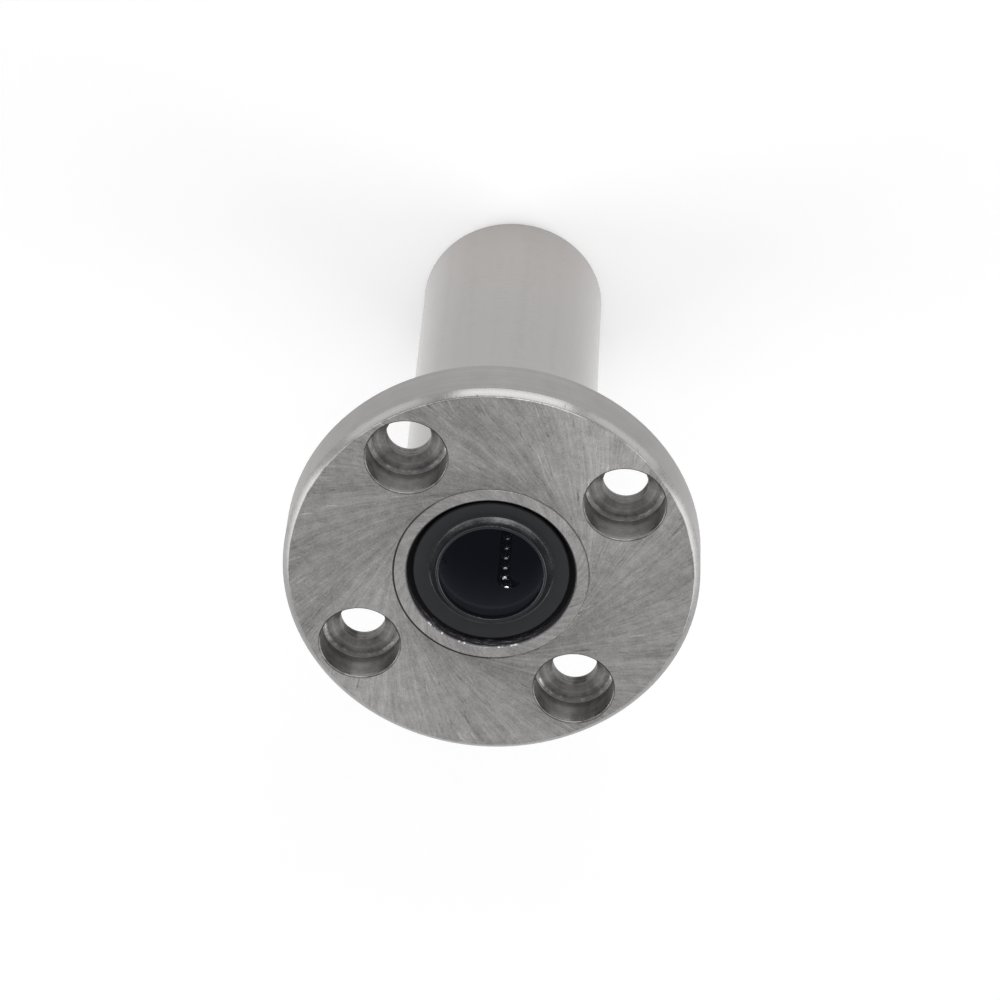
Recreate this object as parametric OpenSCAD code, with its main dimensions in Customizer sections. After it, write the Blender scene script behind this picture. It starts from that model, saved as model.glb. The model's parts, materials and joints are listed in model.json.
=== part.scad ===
// Linear ball bushing with a round bolting flange, long type, for a round shaft.
// +Z runs along the shaft axis, out of the flange's front face. The origin is on the
// axis, in the plane of the flange's back face, where the flange seats.

/* [Shaft and sleeve] */
// Diameter of the shaft that runs in the bushing
shaft_d = 8; // [8:0.02:8.02]
// Outside diameter of the hardened outer sleeve
sleeve_d = 15; // [14.98:0.02:15.1]
// Length of the bushing over both end faces
length = 45; // [45:0.5:50]
// Diameter of the sleeve's bore between its raceway lands
relief_bore_d = 13; // [13:0.02:13.1]
// Chamfer at the sleeve's rear end
sleeve_chamfer = 0.3; // [0.1:0.1:0.5]
// Width of the grinding groove around the sleeve, which the flange hides
groove_w = 0.7; // [0.6:0.1:1]
// Depth of the grinding groove
groove_depth = 0.2; // [0.1:0.05:0.3]

/* [Flange] */
// Outside diameter of the flange
flange_d = 32; // [31:0.5:36]
// Thickness of the flange
flange_t = 4.5; // [4.2:0.1:6]
// Chamfer around both rims of the flange
flange_chamfer = 0.5; // [0.2:0.1:0.8]
// Diameter of the circle that the bolt holes lie on
bolt_circle_d = 24; // [23:0.1:24.4]
// Number of bolt holes
bolt_count = 4; // [3:1:6]
// Diameter of the bolt holes
bolt_hole_d = 3.5; // [3.2:0.1:4]
// Diameter of the counterbores
counterbore_d = 6.2; // [5.6:0.1:6.6]
// Depth of the counterbores at their wall
counterbore_depth = 2.85; // [2:0.05:2.9]
// Included angle of the counterbores' conical floor
counterbore_floor_angle = 135; // [130:1:150]

/* [Ball circuits] */
// Diameter of the balls
ball_d = 1.5; // [1.48:0.01:1.5]
// Spacing of the balls on a straight
ball_pitch = 1.53; // [1.53:0.01:1.56]
// Balls on each straight of a circuit
straight_balls = 8; // [6:1:8]
// Centre-line radius of the half circle at each end of a circuit
turn_r = 1.54; // [1.54:0.01:1.56]
// Radial gap between the loaded balls and the shaft
shaft_gap = 0.008; // [0.004:0.002:0.012]
// Radial gap between the loaded balls and their raceways
raceway_gap = 0.04; // [0.036:0.002:0.044]
// Distance from the shaft axis to the centres of the returning balls
return_r = 5.65; // [5.64:0.01:5.67]
// Angle of the first load row about the axis, from +X
first_row_angle = 22.5; // [0:0.5:90]

/* [Ball cages] */
// Bore diameter of the cages
cage_bore_d = 8.34; // [8.3:0.02:8.4]
// Outside diameter of the cages
cage_d = 12.84; // [12.8:0.01:12.9]
// Gap between a cage and what is at its ends
cage_gap = 0.05; // [0.04:0.01:0.1]
// Diameter of the nose that each cage has inside its side ring
cage_nose_d = 10.8; // [10.6:0.05:10.8]
// Radius of the channels that the balls run in
channel_r = 0.78; // [0.775:0.005:0.79]

/* [End seals] */
// Depth of a seal's flat face below the end of the sleeve
seal_recess = 0.5; // [0.3:0.05:0.6]
// Thickness of the rubber
seal_t = 0.9; // [0.8:0.05:1]
// Diameter of the seal's raised face, inside the groove around it
seal_face_d = 12.1; // [11.8:0.05:12.4]
// Depth of the groove around the seal's face
seal_groove_depth = 0.6; // [0.3:0.05:0.7]
// Thickness of the steel washer that the rubber is bonded to
seal_washer_t = 0.6; // [0.4:0.05:0.6]
// Thickness of the steel ring between a seal and its cage
side_ring_t = 0.8; // [0.4:0.05:0.8]

/* [Hidden] */
$fn = 96;
ball_fn = 40;
cut = 1;                      // how far a cutting shape reaches past what it cuts
circuit_count = 4;
end_names = ["front", "rear"];
ball_groups = ["load_balls", "return_balls", "upper_turn_balls", "lower_turn_balls"];

shaft_r = shaft_d / 2;
sleeve_r = sleeve_d / 2;
relief_r = relief_bore_d / 2;
front_z = flange_t;
rear_z = flange_t - length;
edge_break = 0.1;
seam_break = 0.05;

// Bolt holes
bolt_angle = 45;
bolt_circle_r = bolt_circle_d / 2;
bolt_hole_r = bolt_hole_d / 2;
counterbore_r = counterbore_d / 2;
counterbore_floor_h = (counterbore_r - bolt_hole_r) / tan(counterbore_floor_angle / 2);

// The stack at each end, as depths below the end face
washer_depth = seal_recess + seal_t;
side_ring_depth = washer_depth + seal_washer_t;
land_depth = side_ring_depth + side_ring_t;

// Raceway lands inside the sleeve
ball_r = ball_d / 2;
load_r = shaft_r + shaft_gap + ball_r;
raceway_r = load_r + ball_r + raceway_gap;
land_half_angle = 5;

// One circuit, seen along the radial line through the middle of its turns
turn_balls = 3;
turn_step = 180 / turn_balls;
turn_pitch = turn_r * PI / turn_balls;
straight_l = (straight_balls - 1) * ball_pitch + turn_pitch;
mid_offset = (return_r * return_r - load_r * load_r) / (4 * turn_r);
load_offset = mid_offset - turn_r;
return_offset = mid_offset + turn_r;
circuit_r = sqrt(load_r * load_r - load_offset * load_offset);
circuit_angle = first_row_angle - atan2(load_offset, circuit_r);

// Cages: a body between the lands, and a nose that reaches through the side ring
cage_depth = land_depth + cage_gap;
cage_nose_depth = side_ring_depth + cage_gap;
cage_l = length / 2 - cage_depth - cage_gap;
front_cage_z = front_z - cage_depth - cage_l / 2;
rear_cage_z = rear_z + cage_depth + cage_l / 2;
channel_overlap = 0.3;
turn_widening = 0.04;
land_clearance = 0.1;
land_clearance_angle = 7;
cage_chamfer = 0.15;

// Seal lip
lip_crest_r = 0.15;
lip_wall_l = 0.45;
lip_base_r = shaft_r + 0.73;
seal_face_r = seal_face_d / 2;
seal_dish = 0.2;
seal_back_r = shaft_r + 0.6;

// Bores of the rings behind the seals
seal_washer_bore_r = shaft_r + 1;
side_ring_bore_r = cage_nose_d / 2 + 0.1;

// Puts its children at the front end face, or mirrored at the rear one, so that -Z is depth
module at_end(name) {
    if (name == "front")
        translate([0, 0, front_z]) children();
    else
        translate([0, 0, rear_z]) mirror([0, 0, 1]) children();
}

module flat_ring(outer_r, inner_r, depth, thickness) {
    rotate_extrude()
        translate([inner_r, -depth - thickness]) square([outer_r - inner_r, thickness]);
}

// Stepped bolt hole, with its axis on Z and the flange's front face at z = front_z
module bolt_hole() {
    floor_z = front_z - counterbore_depth;
    rotate_extrude()
        polygon([
            [0, -cut],
            [bolt_hole_r, -cut],
            [bolt_hole_r, floor_z - counterbore_floor_h],
            [counterbore_r, floor_z],
            [counterbore_r, front_z - edge_break],
            [counterbore_r + edge_break + cut, front_z + cut],
            [0, front_z + cut]
        ]);
}

module flange() {
    r = flange_d / 2;
    c = flange_chamfer;
    color("#b5b4ae")
    difference() {
        rotate_extrude()
            polygon([
                [sleeve_r, 0],
                [r - c, 0],
                [r, c],
                [r, front_z - c],
                [r - c, front_z],
                [sleeve_r + seam_break, front_z],
                [sleeve_r, front_z - seam_break]
            ]);
        for (n = [1:bolt_count])
            rotate(bolt_angle + (n - 1) * 360 / bolt_count)
                translate([bolt_circle_r, 0, 0]) bolt_hole();
    }
}

// Hardened tube, pressed into the flange, with one raceway land for each load row
module outer_sleeve() {
    c = sleeve_chamfer;
    e = edge_break;
    land_root_r = (relief_r + sleeve_r) / 2;
    color("#a9a9a6")
    union() {
        rotate_extrude()
            polygon([
                [relief_r, rear_z + e],
                [relief_r + e, rear_z],
                [sleeve_r - c, rear_z],
                [sleeve_r, rear_z + c],
                [sleeve_r, 0],
                [sleeve_r - groove_depth, 0],
                [sleeve_r - groove_depth, groove_w],
                [sleeve_r, groove_w],
                [sleeve_r, front_z - seam_break],
                [sleeve_r - seam_break, front_z],
                [relief_r + e, front_z],
                [relief_r, front_z - e]
            ]);
        for (n = [1:circuit_count])
            rotate(first_row_angle - land_half_angle + (n - 1) * 360 / circuit_count)
                rotate_extrude(angle = 2 * land_half_angle)
                    translate([raceway_r, rear_z + land_depth])
                        square([land_root_r - raceway_r, length - 2 * land_depth]);
    }
}

// Rubber seal: a thin rim, a dished face, and a lip that stands up around the shaft
module seal(end_name) {
    crest = shaft_r + lip_crest_r;
    groove_z = -seal_recess - seal_groove_depth;
    e = edge_break;
    color("#242425")
    at_end(end_name)
    rotate_extrude()
        union() {
            polygon([
                [relief_r, -washer_depth],
                [relief_r, groove_z],
                [seal_face_r, groove_z],
                [seal_face_r, -seal_recess - e],
                [seal_face_r - e, -seal_recess],
                [lip_base_r, -seal_recess - seal_dish],
                [crest + lip_crest_r * cos(25), -lip_crest_r + lip_crest_r * sin(25)],
                [crest, -lip_crest_r],
                [shaft_r, -lip_crest_r],
                [shaft_r, -lip_crest_r - lip_wall_l],
                [seal_back_r, -washer_depth]
            ]);
            translate([crest, -lip_crest_r]) circle(r = lip_crest_r);
        }
}

module seal_washer(end_name) {
    color("#26272a")
    at_end(end_name)
        flat_ring(relief_r, seal_washer_bore_r, washer_depth, seal_washer_t);
}

module side_ring(end_name) {
    color("#2a2b2e")
    at_end(end_name)
        flat_ring(relief_r, side_ring_bore_r, side_ring_depth, side_ring_t);
}

// Turns its children to circuit n, with X radial and the circuit's middle at z = cage_z
module at_circuit(n, cage_z) {
    rotate(circuit_angle + (n - 1) * 360 / circuit_count)
        translate([circuit_r, 0, cage_z]) children();
}

// Section of a ball channel: round at its floor, and open along +Y
module channel_section(r) {
    circle(r = r);
    translate([-r, 0]) square([2 * r, cage_d / 2]);
}

// The closed loop that the balls of one circuit run round, open outwards. The turns are
// a little wider than the straights, which run on into them.
module ball_channel() {
    run_l = straight_l + 2 * channel_overlap;
    for (y = [load_offset, return_offset])
        translate([0, y, -run_l / 2])
            linear_extrude(run_l) rotate(-90) channel_section(channel_r);
    for (end = [-1, 1])
        translate([0, mid_offset, end * straight_l / 2])
            rotate([end * 90, 0, end * 90])
                rotate_extrude(angle = 180)
                    translate([turn_r, 0]) channel_section(channel_r + turn_widening);
}

module cage(end_name, cage_z) {
    bore_r = cage_bore_d / 2;
    nose_r = cage_nose_d / 2;
    cage_r = cage_d / 2;
    tail_depth = cage_depth + cage_l;
    c = cage_chamfer;
    recess_half_angle = land_half_angle + land_clearance_angle;
    recess_r = raceway_r - land_clearance;
    color("#2b2b2d")
    difference() {
        at_end(end_name)
            rotate_extrude()
                polygon([
                    [bore_r + c, -cage_nose_depth],
                    [nose_r - c, -cage_nose_depth],
                    [nose_r, -cage_nose_depth - c],
                    [nose_r, -cage_depth],
                    [cage_r - c, -cage_depth],
                    [cage_r, -cage_depth - c],
                    [cage_r, -tail_depth + c],
                    [cage_r - c, -tail_depth],
                    [bore_r + c, -tail_depth],
                    [bore_r, -tail_depth + c],
                    [bore_r, -cage_nose_depth - c]
                ]);
        for (n = [1:circuit_count]) {
            rotate(first_row_angle - recess_half_angle + (n - 1) * 360 / circuit_count)
                rotate_extrude(angle = 2 * recess_half_angle)
                    translate([recess_r, cage_z - cage_l / 2 - cut])
                        square([cage_r - recess_r + cut, cage_l + 2 * cut]);
            at_circuit(n, cage_z) ball_channel();
        }
    }
}

module ball() {
    sphere(r = ball_r, $fn = ball_fn);
}

// The balls on one straight of circuit n
module straight_row(n, cage_z, offset) {
    color("#d5d7d9")
    at_circuit(n, cage_z)
        for (i = [1:straight_balls])
            translate([0, offset, (i - (straight_balls + 1) / 2) * ball_pitch]) ball();
}

// The balls in the turn at the upper (end = 1) or lower (end = -1) end of circuit n
module turn_row(n, cage_z, end) {
    color("#d5d7d9")
    at_circuit(n, cage_z)
        translate([0, mid_offset, end * straight_l / 2])
            for (i = [1:turn_balls])
                rotate([-end * (i - 0.5) * turn_step, 0, 0]) translate([0, -turn_r, 0]) ball();
}

module load_balls(n, cage_z) { straight_row(n, cage_z, load_offset); }

module return_balls(n, cage_z) { straight_row(n, cage_z, return_offset); }

module upper_turn_balls(n, cage_z) { turn_row(n, cage_z, 1); }

module lower_turn_balls(n, cage_z) { turn_row(n, cage_z, -1); }

flange();
outer_sleeve();
seal("front");  // front_seal
seal("rear");  // rear_seal
seal_washer("front");  // front_seal_washer
seal_washer("rear");  // rear_seal_washer
side_ring("front");  // front_side_ring
side_ring("rear");  // rear_side_ring
cage("front", front_cage_z);  // front_cage
cage("rear", rear_cage_z);  // rear_cage
for (e = end_names, n = [1:circuit_count]) {
    z = e == "front" ? front_cage_z : rear_cage_z;
    load_balls(n, z);
    return_balls(n, z);
    upper_turn_balls(n, z);
    lower_turn_balls(n, z);
}
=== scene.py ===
"""Looks of a flanged linear ball bushing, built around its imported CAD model."""
import json
import math

import bpy
from mathutils import Matrix, Vector


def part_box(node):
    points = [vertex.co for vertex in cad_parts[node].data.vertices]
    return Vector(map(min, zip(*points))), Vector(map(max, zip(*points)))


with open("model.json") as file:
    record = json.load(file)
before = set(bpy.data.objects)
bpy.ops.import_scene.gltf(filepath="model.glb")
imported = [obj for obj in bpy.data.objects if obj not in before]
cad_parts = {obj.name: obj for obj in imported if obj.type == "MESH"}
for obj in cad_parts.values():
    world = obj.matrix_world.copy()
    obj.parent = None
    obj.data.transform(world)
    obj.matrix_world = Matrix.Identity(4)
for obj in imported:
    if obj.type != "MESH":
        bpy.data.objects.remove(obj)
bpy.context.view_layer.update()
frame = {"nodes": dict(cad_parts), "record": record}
nodes = frame["nodes"]
mounts = {m["name"]: m for m in frame["record"]["mounts"]}

# Sizes from the frame, in millimetres, which are the units of the materials' patterns too
MM = 1000.0
FRONT_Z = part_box("flange")[1].z * MM
REAR_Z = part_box("outer_sleeve")[0].z * MM
FLANGE_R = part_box("flange")[1].x * MM
SEAM_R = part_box("outer_sleeve")[1].x * MM
BORE_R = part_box("front_seal")[1].x * MM
BOLT_CIRCLE_R = mounts["flange_bolts"]["dims"]["pcd_mm"] / 2

# Sizes of details that the frame doesn't state, in millimetres
CHAMFER = 0.5
COUNTERBORE_R = 3.1
LIP_CREST_R = 4.29
LIP_SLOPE_W = 0.44


# ---------------------------------------------------------------- material building

# Numbers of a Mix node's first input to mix, and of its output, for each kind of value
MIX_SOCKETS = {"FLOAT": (2, 0), "VECTOR": (4, 1), "RGBA": (6, 2)}


class Wire:
    """A number on its way through a material's nodes. It takes part in arithmetic."""

    def __init__(self, shader, socket):
        self.shader = shader
        self.socket = socket

    def op(self, operation, *others):
        return self.shader.math(operation, self, *others)

    def __add__(self, other):
        return self.op("ADD", other)

    def __sub__(self, other):
        return self.op("SUBTRACT", other)

    def __rsub__(self, other):
        return self.shader.math("SUBTRACT", other, self)

    def __mul__(self, other):
        return self.op("MULTIPLY", other)

    def __truediv__(self, other):
        return self.op("DIVIDE", other)

    def __rtruediv__(self, other):
        return self.shader.math("DIVIDE", other, self)

    __radd__ = __add__
    __rmul__ = __mul__


class Shader:
    """A material with one Principled shader, and short calls that add nodes before it.

    x, y and z are the place on the object in mm, r the distance from the shaft's axis, and
    azimuth the angle around it in radians. A setting is a socket's name with _ for each space."""

    def __init__(self, name, **settings):
        self.material = bpy.data.materials.new(name)
        self.material.use_nodes = True
        self.tree = self.material.node_tree
        self.principled = self.tree.nodes["Principled BSDF"]
        for socket, value in settings.items():
            self.principled.inputs[socket.replace("_", " ")].default_value = value
        coordinates = self.node("ShaderNodeTexCoord")
        split = self.node("ShaderNodeSeparateXYZ")
        self.tree.links.new(coordinates.outputs["Object"], split.inputs[0])
        self.x, self.y, self.z = [Wire(self, split.outputs[i]) * MM for i in range(3)]
        self.r = length(self.x, self.y)
        self.azimuth = self.y.op("ARCTAN2", self.x)

    def node(self, kind, **properties):
        made = self.tree.nodes.new(kind)
        for name, value in properties.items():
            setattr(made, name, value)
        return made

    def plug(self, socket, value):
        if isinstance(value, Wire):
            self.tree.links.new(value.socket, socket)
        else:
            socket.default_value = value

    def math(self, operation, *values):
        made = self.node("ShaderNodeMath", operation=operation)
        for socket, value in zip(made.inputs, values):
            self.plug(socket, value)
        return Wire(self, made.outputs[0])

    def vector(self, x, y, z):
        made = self.node("ShaderNodeCombineXYZ")
        for socket, value in zip(made.inputs, (x, y, z)):
            self.plug(socket, value)
        return Wire(self, made.outputs[0])

    def noise(self, vector, scale, detail=1.0, roughness=0.5):
        """Smooth noise around 0, mostly from -0.5 to 0.5."""
        made = self.node("ShaderNodeTexNoise")
        self.plug(made.inputs["Vector"], vector)
        for socket, value in (("Scale", scale), ("Detail", detail), ("Roughness", roughness)):
            made.inputs[socket].default_value = value
        return Wire(self, made.outputs[0]) - 0.5

    def step(self, value, low, high):
        """Rises smoothly from 0 to 1 as value goes from low to high, or falls if low is the larger."""
        made = self.node("ShaderNodeMapRange", interpolation_type="SMOOTHSTEP")
        rising = high > low
        self.plug(made.inputs["Value"], value)
        made.inputs["From Min"].default_value = low if rising else high
        made.inputs["From Max"].default_value = high if rising else low
        made.inputs["To Min"].default_value = 0 if rising else 1
        made.inputs["To Max"].default_value = 1 if rising else 0
        return Wire(self, made.outputs["Result"])

    def mix(self, factor, a, b, kind="RGBA"):
        """From a to b as factor goes from 0 to 1. Both are colours, or what kind says."""
        made = self.node("ShaderNodeMix", data_type=kind)
        first, result = MIX_SOCKETS[kind]
        self.plug(made.inputs[0], factor)
        self.plug(made.inputs[first], a)
        self.plug(made.inputs[first + 1], b)
        return Wire(self, made.outputs[result])

    def tint(self, base, tone):
        """The base colour times a number that varies over the surface."""
        made = self.node("ShaderNodeVectorMath", operation="SCALE")
        self.plug(made.inputs[0], base[:3])
        self.plug(made.inputs["Scale"], tone)
        return Wire(self, made.outputs[0])

    def finish(self, base, roughness, height=None, depth=0.01, tangent=None):
        """Connects the results. depth is how deep, in mm, a height of 1 is."""
        self.plug(self.principled.inputs["Base Color"], base)
        self.plug(self.principled.inputs["Roughness"], roughness)
        if height is not None:
            bump = self.node("ShaderNodeBump")
            bump.inputs["Distance"].default_value = depth / MM
            self.plug(bump.inputs["Height"], height)
            self.tree.links.new(bump.outputs[0], self.principled.inputs["Normal"])
        if tangent is not None:
            self.plug(self.principled.inputs["Tangent"], tangent)
        return self.material


def length(x, y):
    return (x * x + y * y).op("SQRT")


def around(s):
    """Cosine and sine of the azimuth, which have no jump behind the axis as the angle has."""
    return s.azimuth.op("COSINE"), s.azimuth.op("SINE")


def colour(r, g, b):
    return (r, g, b, 1.0)


# ---------------------------------------------------------------- finishes, where s is the Shader

# Radii of the grinding arcs: the main ones, and those of single bright and dark scratches
MAIN_ARC_R = 64.5
BRIGHT_ARC_R = 48
DARK_ARC_R = 90
# Colour of the seam's dirt, also used as painted shade over the glint of its edge breaks
SEAM_DIRT_AND_SHADE = colour(0.04, 0.035, 0.03)


def arcs(s, arc_r, closest):
    """One family of grinding arcs on the front face, which pass the axis at the distance closest.

    Gives the direction in which each point's arc comes closest, as a cosine and a sine, and the
    vector across the arc."""
    centre = arc_r - closest

    # The arc's centre is opposite to where it comes closest. The angle between that and the point
    # follows from the law of cosines
    power = arc_r ** 2 - centre ** 2
    swept = math.pi - ((s.r - power / s.r) / (2 * centre)).op("ARCCOSINE")
    wobble = s.noise(s.vector(s.x, s.y, arc_r), 0.2) * 0.06
    start = s.azimuth - swept + wobble
    cosine, sine = start.op("COSINE"), start.op("SINE")
    return cosine, sine, s.vector(s.x + cosine * centre, s.y + sine * centre, 0.0)


def ground_face(s, closest):
    """Swirl-ground face: its tone, its height and the vector across its scratches."""
    cosine, sine, across = arcs(s, MAIN_ARC_R, closest)
    # Broad fan-shaped sectors of tone: partly the grinding's own, partly painted reflection of the light
    # that a ground face catches in sectors
    fan = s.noise(s.vector(cosine, sine, s.r * 0.02), 2.3)
    streak = s.noise(s.vector(cosine, sine, s.r * 0.012), 14, 2)
    scratch = s.noise(s.vector(cosine, sine, s.r * 0.008), 60, 3, 0.65)
    hair = s.noise(s.vector(cosine, sine, s.r * 0.006), 150, 2, 0.7)

    # Single bright and dark scratches, whose arcs cross the main ones
    cosine, sine, _ = arcs(s, BRIGHT_ARC_R, closest - 2.1)
    bright = s.step(s.noise(s.vector(sine, cosine, s.r * 0.012), 46, 1), 0.17, 0.27)
    cosine, sine, _ = arcs(s, DARK_ARC_R, closest - 0.9)
    dark = s.step(s.noise(s.vector(sine, s.r * 0.014, cosine), 38, 1), -0.17, -0.27)

    mottle = s.noise(s.vector(s.x, s.y, s.z), 1.1, 4, 0.7)
    grain = s.noise(s.vector(s.y, s.z, s.x), 6, 2, 0.6)
    pit = s.step(s.noise(s.vector(s.x, s.z, s.y), 3.2, 1), 0.26, 0.32)
    tone = 1.0 + fan * 0.45 + streak * 0.6 + scratch * 0.6 + hair * 0.75 + mottle * 0.75 + grain * 0.7
    tone = tone + bright * 0.35 - dark * 0.3 - pit * 0.25
    height = scratch * 0.8 + hair * 0.7 + grain * 0.3 - bright * 0.3 - dark * 0.4 - pit
    return tone, height, across


def seam_dirt_and_shade(s):
    """How much of the seam around the sleeve's face is darkened, by dirt and by painted shade.

    It is nearly all dirt around one azimuth. Opposite to it the wheel has smeared metal over the
    seam, and there the dark colour is painted shade that dulls the glint of its two edge breaks,
    most on the side towards +Y, where the key light falls."""
    cosine, sine = around(s)
    smeared_azimuth = math.radians(38)
    patchy = s.noise(s.vector(cosine, sine, 0.0), 1.6, 2) * 2.0
    open_seam = s.step(patchy - (s.azimuth - smeared_azimuth).op("COSINE"), -0.15, 0.3)
    # Where the seam is smeared, painted shade over the glint of its edge breaks, more towards +Y
    amount = s.mix(open_seam, sine * 0.32 + 0.38, 0.97, "FLOAT")
    return s.step((s.r - SEAM_R).op("ABSOLUTE"), 0.08, 0.06) * amount


def turned(s, r, z, fine, contrast=0.35):
    """Rings that a lathe leaves around an axis: tone and height. fine is the rings per mm."""
    ring = s.noise(s.vector(r, z, 0.0), fine, 2, 0.6)
    wide = s.noise(s.vector(r, z, 3.0), fine * 0.25, 1)
    return 1.0 + (ring + wide) * contrast, ring + wide


def flange_steel():
    """Turned all over, then ground on its front face, with four drilled and counterbored holes."""
    s = Shader("flange_steel", Metallic=1.0, Anisotropic=0.8)
    cosine, sine = around(s)
    hole_x = BOLT_CIRCLE_R / math.sqrt(2)
    from_hole_x = s.x - s.x.op("SIGN") * hole_x
    from_hole_y = s.y - s.y.op("SIGN") * hole_x
    hole_r = length(from_hole_x, from_hole_y)
    edge_r = FLANGE_R - CHAMFER

    face_tone, face_height, face_across = ground_face(s, closest=7.3)
    face_tone = face_tone - s.step(s.r, SEAM_R + 3, SEAM_R) * 0.18
    rim_tone, rim_height = turned(s, s.r, s.z, 9, 0.25)
    hole_tone, hole_height = turned(s, hole_r, s.z, 4, 1.3)
    blotch = s.noise(s.vector(s.x, s.y, s.z), 0.5, 3)
    smear = s.noise(s.vector(s.x, s.y, s.z), 1.6, 3, 0.7)

    in_face = s.step(s.z, FRONT_Z - 0.06, FRONT_Z - 0.02)
    in_hole = s.step(hole_r, COUNTERBORE_R + 0.12, COUNTERBORE_R + 0.1) * s.step(s.z, 0.02, 0.06)
    in_chamfer = s.step(s.z, FRONT_Z - CHAMFER - 0.02, FRONT_Z - CHAMFER) * (1.0 - in_face)

    # A counterbore is lighter on its wall, has a painted highlight in patches along the corner at the
    # foot of the wall, where it is also smoother, and is dark on the edge break at its mouth
    wall = s.step(hole_r, COUNTERBORE_R - 0.08, COUNTERBORE_R - 0.02)
    corner_highlight = s.step((hole_r - COUNTERBORE_R + 0.2).op("ABSOLUTE"), 0.14, 0.04) * s.step(smear, -0.02, 0.2)
    brim = s.step(hole_r, COUNTERBORE_R, COUNTERBORE_R + 0.04)
    hole_tone = hole_tone + smear * 1.4 + wall * 0.6 + corner_highlight * 0.9 - brim * 0.9

    # Small knocks and a rough burr along the edge between the face and the chamfer
    knock = s.step(s.noise(s.vector(s.x, s.y, 0.0), 1.3, 2, 0.7), 0.14, 0.24)
    knock = knock * s.step(s.r, edge_r - 0.6, edge_r) * s.step(s.z, FRONT_Z - 0.4, FRONT_Z - 0.1)
    burr = s.step(s.noise(s.vector(cosine, sine, 2.0), 5, 3), 0.0, 0.12)
    burr = s.step((s.r - edge_r).op("ABSOLUTE"), 0.09, 0.03) * burr

    steel = s.tint(colour(0.33, 0.319, 0.314), rim_tone + blotch * 0.2 + smear * 0.15)
    steel = s.mix(in_chamfer, steel, s.tint(colour(0.36, 0.355, 0.35), rim_tone + smear * 0.3))
    steel = s.mix(in_face, steel, s.tint(colour(0.468, 0.457, 0.444), face_tone))
    steel = s.mix(in_hole, steel, s.tint(colour(0.193, 0.186, 0.181), hole_tone))
    # The seam: dirt, and painted shade over the glint of its edge breaks
    steel = s.mix(seam_dirt_and_shade(s), steel, SEAM_DIRT_AND_SHADE)
    steel = s.mix(knock * 0.45 + burr * 0.5, steel, colour(0.13, 0.12, 0.13))

    # The front chamfer is slightly rounded
    up = (s.z - (FRONT_Z - CHAMFER)) / CHAMFER
    worn = up * (1.0 - up) * 20.0 + smear
    height = s.mix(in_face, rim_height * 0.5 + worn * in_chamfer, face_height, "FLOAT")
    height = s.mix(in_hole, height, hole_height * 2.0 + smear, "FLOAT") - knock * 2.0 - burr
    roughness = 0.36 + smear * 0.12 - in_chamfer * 0.08 - in_hole * corner_highlight * 0.15

    # Away from the face the scratches run around an axis. The vector across them leans, so that
    # it is along no normal of the rim, the faces and the chamfers
    tangent = s.mix(in_face, s.vector(s.x, s.y, s.r * -3), face_across, "VECTOR")
    tangent = s.mix(in_hole, tangent, s.vector(from_hole_x, from_hole_y, hole_r), "VECTOR")
    return s.finish(steel, roughness, height, 0.006, tangent)


def sleeve_steel():
    """Hardened and ground around the barrel, with its front face ground together with the flange."""
    s = Shader("sleeve_steel", Metallic=1.0, Anisotropic=0.6, Coat_Weight=1.0, Coat_Roughness=0.25)
    cosine, sine = around(s)
    face_tone, face_height, face_across = ground_face(s, closest=5.2)
    line = s.noise(s.vector(s.z, s.r, 0.0), 9, 3, 0.7)
    band = s.noise(s.vector(cosine, sine, s.z * 0.004), 5, 2)
    scuff = s.noise(s.vector(cosine * 3, sine * 3, s.z * 0.15), 4, 3, 0.7)
    cloud = s.noise(s.vector(s.x, s.y, s.z * 0.4), 0.35, 2)
    pit = s.step(s.noise(s.vector(s.x, s.z, s.y), 2.4, 1), 0.26, 0.31)
    tone = 1.0 + line * 0.2 + band * 0.22 + scuff * 0.16 + cloud * 0.12 - pit * 0.15

    in_face = s.step(s.z, FRONT_Z - 0.06, FRONT_Z - 0.02)
    inside = s.step(s.r, BORE_R + 0.3, BORE_R + 0.1) * (1.0 - in_face)
    mouth = s.step(s.r, BORE_R + 0.14, BORE_R + 0.06) * s.step(s.z, FRONT_Z - 0.14, FRONT_Z - 0.08)

    # Painted glints on one side of the mouth's edge and of the wall below it; the wall inside the bore and
    # the mouth's edge are painted dark, as shade
    glint = s.step(s.noise(s.vector(cosine, sine, 1.0), 7, 3, 0.7), 0.02, 0.12) * s.step(sine, -0.6, -0.9)
    wall_glint = s.step(s.noise(s.vector(cosine, sine, s.z * 1.2), 7, 2), 0.04, 0.18) * s.step(sine, -0.5, -0.85)

    # Towards the rear end the colour is lighter and warmer than the rest
    warm = s.step(s.z, REAR_Z + 22.5, REAR_Z + 2.5)
    steel = s.mix(warm, colour(0.325, 0.317, 0.305), colour(0.362, 0.338, 0.324))
    steel = s.mix(1.0 - tone, steel, colour(0.0, 0.0, 0.0))
    steel = s.mix(in_face, steel, s.tint(colour(0.475, 0.464, 0.45), face_tone))
    # Painted shade darkens the wall inside the bore, with painted glints on one side
    steel = s.mix(inside, steel, s.tint(colour(0.2, 0.19, 0.215), tone * 0.35 + wall_glint * 2.0))
    # The mouth's edge in painted shade, with painted glints
    steel = s.mix(mouth, steel, s.tint(colour(0.09, 0.09, 0.095), 1.0 + glint * 7.0))
    # The seam: dirt, and painted shade over the glint of its edge breaks
    steel = s.mix(seam_dirt_and_shade(s) * in_face, steel, SEAM_DIRT_AND_SHADE)
    height = s.mix(in_face, line, face_height, "FLOAT")
    roughness = 0.33 + cloud * 0.1 + scuff * 0.08 + inside * 0.3
    tangent = s.mix(in_face, s.vector(s.x, s.y, s.r * -3), face_across, "VECTOR")
    return s.finish(steel, roughness, height, 0.004, tangent)


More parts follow.
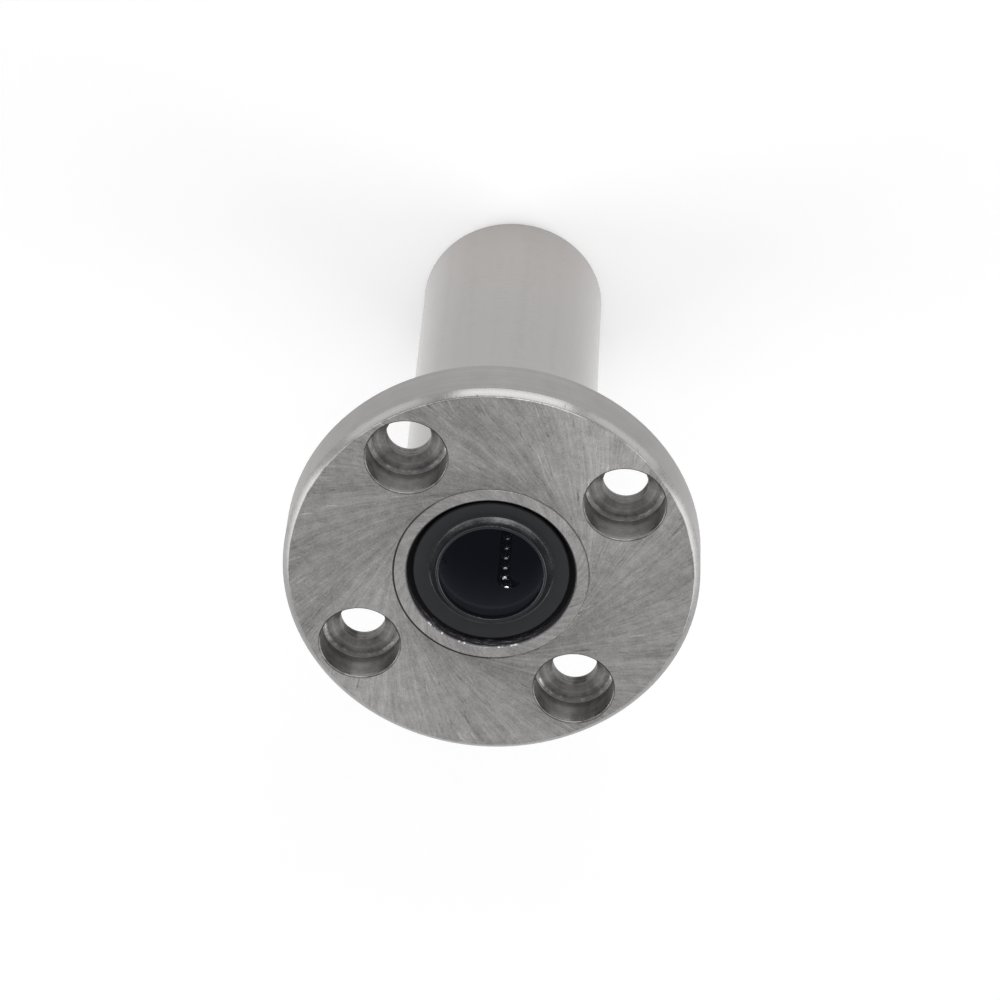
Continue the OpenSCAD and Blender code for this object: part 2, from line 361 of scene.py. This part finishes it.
def seal_rubber():
    """Moulded black rubber with a greased lip, and a groove around its flat face painted near black, as
    shade.
    """
    s = Shader("seal_rubber", IOR=1.5)
    grain = s.noise(s.vector(s.x, s.y, s.z), 9, 3, 0.6)
    film = s.noise(s.vector(s.x, s.y, s.z), 0.6, 2)
    dust = s.step(s.noise(s.vector(s.y, s.z, s.x), 5, 1), 0.27, 0.33)
    ring = s.noise(s.vector(s.r, s.z, 0.0), 6, 1)
    lump = s.noise(s.vector(s.z, s.x, s.y), 1.3, 2, 0.6)
    groove_shade = s.step(s.r, BORE_R - 0.47, BORE_R - 0.42)
    lip = s.step(s.r, LIP_CREST_R + 0.61, LIP_CREST_R + 0.41)

    # The outer slope of the lip is hollow, as moulded, and greased in patches
    out = ((s.r - LIP_CREST_R) / LIP_SLOPE_W).op("MAXIMUM", 0.0)
    hollow = out * (1.0 - out) * -14.0
    patch = s.step(s.noise(s.vector(s.y, s.x, s.z), 0.6, 2), -0.3, 0.1)
    grease = s.step(s.r, LIP_CREST_R - 0.03, LIP_CREST_R + 0.11) * lip * patch

    rubber = s.tint(colour(0.007, 0.0082, 0.011), 1.0 + grain * 0.5 + film * 0.6 + ring * 0.4)
    rubber = s.mix(dust * 0.12, rubber, colour(0.25, 0.25, 0.24))
    # The groove around the flat face is painted near black, as shade
    rubber = s.mix(groove_shade, rubber, colour(0.001, 0.001, 0.0012))
    height = grain * 0.4 + ring * 0.6 + (lump * 2.0 + hollow) * lip
    roughness = 0.46 + film * 0.25 + grain * 0.1 - lip * 0.2 + groove_shade * 0.3
    s.plug(s.principled.inputs["Specular IOR Level"], grease * 0.8 + 0.5)
    return s.finish(rubber, roughness, height, 0.01)


def ring_steel():
    """Blackened steel, turned."""
    s = Shader("ring_steel", Metallic=1.0)
    tone, height = turned(s, s.r, s.z, 5)
    oxide = s.noise(s.vector(s.x, s.y, s.z), 1.2, 3)
    steel = s.tint(colour(0.03, 0.031, 0.036), tone + oxide * 0.6)
    return s.finish(steel, 0.42 + oxide * 0.2, height, 0.004)


def cage_resin():
    """Dark moulded resin. Its trace of glow stands for the light that is scattered in the bore."""
    s = Shader("cage_resin", IOR=1.48, Specular_IOR_Level=0.12,
               Emission_Color=colour(0.0052, 0.0057, 0.0078), Emission_Strength=1.0)
    grain = s.noise(s.vector(s.x, s.y, s.z), 7, 3, 0.6)
    flow = s.noise(s.vector(s.x, s.y, s.z * 0.2), 0.7, 2)
    resin = s.tint(colour(0.02, 0.021, 0.025), 1.0 + flow * 0.5 + grain * 0.3)
    return s.finish(resin, 0.75 + grain * 0.2 + flow * 0.15, grain, 0.006)


def ball_steel():
    """Lapped bright steel under a thin film of oil."""
    s = Shader("ball_steel", Metallic=1.0)
    lapped = s.noise(s.vector(s.x, s.y, s.z), 3, 3, 0.6)
    oil = s.noise(s.vector(s.x, s.z, s.y), 0.8, 1)
    steel = s.tint(colour(0.68, 0.68, 0.69), 1.0 + lapped * 0.1 + oil * 0.12)
    return s.finish(steel, 0.1 + lapped * 0.06 + oil * 0.06)


def dress(material, *endings):
    """Gives a material to every CAD node whose name, without its number, has one of the endings."""
    for name, obj in nodes.items():
        if name.rstrip("_0123456789").endswith(endings):
            for slot in obj.material_slots:
                slot.material = material


# ---------------------------------------------------------------- camera, lights, floor

def direction(azimuth, elevation):
    """Unit vector towards an azimuth, from +X, and an elevation, both in degrees."""
    a, e = math.radians(azimuth), math.radians(elevation)
    return Vector((math.cos(e) * math.cos(a), math.cos(e) * math.sin(a), math.sin(e)))


def looking(azimuth, elevation, distance, target, roll=0.0):
    """Placement of a camera or light that looks at target from that side."""
    side = direction(azimuth, elevation)
    turn = (-side).to_track_quat("-Z", "Y").to_matrix().to_4x4()
    return Matrix.Translation(target + side * distance) @ turn @ Matrix.Rotation(math.radians(roll), 4, "Z")


def add(name, data):
    """A new object in the scene."""
    obj = bpy.data.objects.new(name, data)
    bpy.context.scene.collection.objects.link(obj)
    return obj


def make_camera():
    """A long lens from above the front face, nearly upside down, so that the barrel points up."""
    camera = add("camera", bpy.data.cameras.new("camera"))
    camera.data.sensor_width = 36.0
    camera.data.lens = 166.8
    camera.data.clip_start = 0.01
    target = Vector((0.00023, 0.00004, -0.00693))
    camera.matrix_world = looking(98.84, 59.78, distance=0.3641, target=target, roll=-175.44)
    bpy.context.scene.camera = camera


def softbox(name, azimuth, elevation, distance, width, height, radiance):
    """A panel of light that looks at the part. Its power follows from its radiance."""
    light = bpy.data.lights.new(name, "AREA")
    light.shape = "RECTANGLE"
    light.size = width
    light.size_y = height
    light.energy = radiance * math.pi * width * height
    add(name, light).matrix_world = looking(azimuth, elevation, distance, Vector((0, 0, -0.015)))


def make_world():
    """A grey studio, lighter towards the horizon."""
    world = bpy.data.worlds.new("studio")
    world.use_nodes = True
    tree = world.node_tree
    coordinates = tree.nodes.new("ShaderNodeTexCoord")
    split = tree.nodes.new("ShaderNodeSeparateXYZ")
    ramp = tree.nodes.new("ShaderNodeValToRGB")
    tree.links.new(coordinates.outputs["Generated"], split.inputs[0])
    tree.links.new(split.outputs["Z"], ramp.inputs[0])
    tree.links.new(ramp.outputs[0], tree.nodes["Background"].inputs["Color"])
    horizon, zenith = ramp.color_ramp.elements
    horizon.position = 0.0
    horizon.color = colour(0.8, 0.8, 0.8)
    zenith.position = 0.8
    zenith.color = colour(0.5, 0.5, 0.51)
    bpy.context.scene.world = world


def make_floor():
    """White paper just below the rear end. It glows a little, so that the part's shade stays pale."""
    half = 3.0
    z = (REAR_Z - 0.05) / MM
    corners = [(-half, -half, z), (half, -half, z), (half, half, z), (-half, half, z)]
    mesh = bpy.data.meshes.new("floor")
    mesh.from_pydata(corners, [], [(0, 1, 2, 3)])
    paper = bpy.data.materials.new("floor")
    paper.use_nodes = True
    shader = paper.node_tree.nodes["Principled BSDF"]
    shader.inputs["Base Color"].default_value = colour(0.8, 0.8, 0.8)
    shader.inputs["Roughness"].default_value = 0.9
    shader.inputs["Specular IOR Level"].default_value = 0.1
    shader.inputs["Emission Color"].default_value = colour(1, 1, 1)
    shader.inputs["Emission Strength"].default_value = 0.24
    mesh.materials.append(paper)
    add("floor", mesh)


dress(flange_steel(), "flange")
dress(sleeve_steel(), "outer_sleeve")
dress(seal_rubber(), "seal")
dress(ring_steel(), "seal_washer", "side_ring")
dress(cage_resin(), "cage")
dress(ball_steel(), "balls")

make_camera()
make_world()
softbox("key", azimuth=95, elevation=30, distance=0.6, width=0.5, height=0.35, radiance=2.0)
softbox("key_left", azimuth=152, elevation=24, distance=0.6, width=0.36, height=0.3, radiance=0.9)
softbox("key_right", azimuth=44, elevation=24, distance=0.6, width=0.36, height=0.3, radiance=0.9)
softbox("left", azimuth=208, elevation=30, distance=0.7, width=0.5, height=0.5, radiance=1.8)
softbox("right", azimuth=352, elevation=30, distance=0.7, width=0.5, height=0.5, radiance=1.9)
make_floor()
bpy.context.scene.view_settings.view_transform = "Standard"
